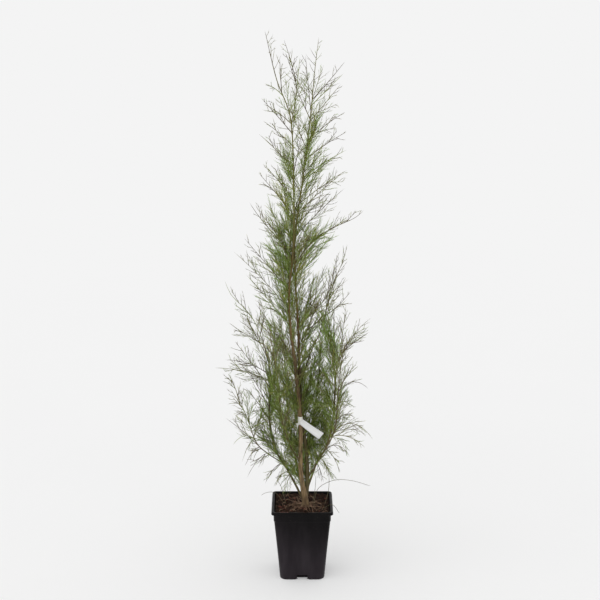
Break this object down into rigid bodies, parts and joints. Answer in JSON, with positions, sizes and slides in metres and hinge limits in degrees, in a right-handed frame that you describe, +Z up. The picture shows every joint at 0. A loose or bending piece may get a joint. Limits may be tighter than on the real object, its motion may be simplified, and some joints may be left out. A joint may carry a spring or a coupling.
{
  "type": "potted tamarisk",
  "caption": "Young tamarisk in a square black nursery pot: slender forked stem, arching boughs and feathery green plumes of fine twigs, with a plain label strip.",
  "frame": {"origin": "middle of the pot's flat underside", "axes": "+Z up along the stem, -Y towards the viewer of the front, +X to the viewer's right"},
  "size_m": [0.3479, 0.2852, 1.1641],
  "materials": {
    "pot_plastic": "moulded black polypropylene, satin with dusty scuffs",
    "potting_mix": "moist peat with bark chips and pale roots",
    "bark": "smooth young bark, brown to olive",
    "foliage": "fine green twigs with scale leaves",
    "label_strip": "blank white plastic strip"
  },
  "bodies": {
    "root": {"bough_back_left": "bark", "bough_back_right": "bark", "bough_front_left": "bark", "bough_front_right": "bark", "bough_left_low": "bark", "bough_left_outer": "bark", "bough_left_top": "bark", "bough_right_low": "bark", "bough_right_top": "bark", "bough_right_upper": "bark", "bough_top_middle": "bark", "foliage_bough_back_left_1": "foliage", "foliage_bough_back_left_2": "foliage", "foliage_bough_back_left_tip": "foliage", "foliage_bough_back_right_1": "foliage", "foliage_bough_back_right_2": "foliage", "foliage_bough_back_right_tip": "foliage", "foliage_bough_front_left_1": "foliage", "foliage_bough_front_left_2": "foliage", "foliage_bough_front_left_tip": "foliage", "foliage_bough_front_right_1": "foliage", "foliage_bough_front_right_2": "foliage", "foliage_bough_front_right_tip": "foliage", "foliage_bough_left_low_1": "foliage", "foliage_bough_left_low_2": "foliage", "foliage_bough_left_low_tip": "foliage", "foliage_bough_left_outer_1": "foliage", "foliage_bough_left_outer_2": "foliage", "foliage_bough_left_outer_tip": "foliage", "foliage_bough_left_top_tip": "foliage", "foliage_bough_right_low_1": "foliage", "foliage_bough_right_low_2": "foliage", "foliage_bough_right_low_tip": "foliage", "foliage_bough_right_top_tip": "foliage", "foliage_bough_right_upper_1": "foliage", "foliage_bough_right_upper_2": "foliage", "foliage_bough_right_upper_tip": "foliage", "foliage_bough_top_middle_tip": "foliage", "foliage_second_stem_1": "foliage", "foliage_second_stem_2": "foliage", "foliage_second_stem_3": "foliage", "foliage_second_stem_4": "foliage", "foliage_second_stem_5": "foliage", "foliage_second_stem_6": "foliage", "foliage_second_stem_7": "foliage", "foliage_second_stem_tip": "foliage", "foliage_trunk_1": "foliage", "foliage_trunk_2": "foliage", "foliage_trunk_3": "foliage", "foliage_trunk_4": "foliage", "foliage_trunk_5": "foliage", "foliage_trunk_6": "foliage", "foliage_trunk_7": "foliage", "foliage_trunk_8": "foliage", "foliage_trunk_tip": "foliage", "label": "label_strip", "pot": "pot_plastic", "second_stem": "bark", "soil": "potting_mix", "trunk": "bark"}
  },
  "joints": []
}
